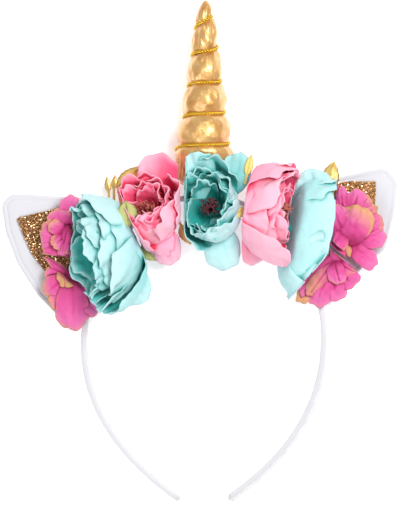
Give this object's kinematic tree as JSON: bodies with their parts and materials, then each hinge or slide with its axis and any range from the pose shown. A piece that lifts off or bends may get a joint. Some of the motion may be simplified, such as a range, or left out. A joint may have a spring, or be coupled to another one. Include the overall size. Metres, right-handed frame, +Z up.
{
  "type": "unicorn horn headband",
  "caption": "Costume headband with a stuffed gold unicorn horn, felt ears with glitter panels and a row of cloth flowers.",
  "frame": {"origin": "on the surface it lies on, under the middle of the band's crown", "axes": "+Z up from the surface, through the flowers; +Y from the band's tips towards the tip of the horn; +X to the right of the front as seen from above"},
  "size_m": [0.2185, 0.2764, 0.0455],
  "materials": {
    "white_satin": "smooth satin",
    "gold_cloth": "metallic cloth with a soft shine",
    "gold_cord": "metallic twisted cord",
    "white_felt": "soft matte felt",
    "gold_glitter": "coarse glitter",
    "teal_cloth": "matte petal cloth",
    "pink_cloth": "matte petal cloth",
    "magenta_satin": "petal satin with gold tips",
    "stamen_thread": "matte thread",
    "gold_leaf": "metallic print"
  },
  "bodies": {
    "root": {"headband": "white_satin", "unicorn_horn": "gold_cloth", "horn_cord": "gold_cord", "ear_left": "white_felt", "ear_right": "white_felt", "glitter_panel_left": "gold_glitter", "glitter_panel_right": "gold_glitter", "flower_teal_left": "teal_cloth", "flower_pink_left": "pink_cloth", "flower_teal_middle": "teal_cloth", "flower_pink_right": "pink_cloth", "flower_teal_right": "teal_cloth", "bloom_left_upper": "magenta_satin", "bloom_left_lower": "magenta_satin", "bloom_right_upper": "magenta_satin", "bloom_right_lower": "magenta_satin", "stamens_pink_left": "stamen_thread", "stamens_teal_middle": "stamen_thread", "stamens_pink_right": "stamen_thread", "leaf_gold_left_inner": "gold_leaf", "leaf_gold_left_middle": "gold_leaf", "leaf_gold_left_outer": "gold_leaf", "leaf_gold_right": "gold_leaf"}
  },
  "joints": []
}
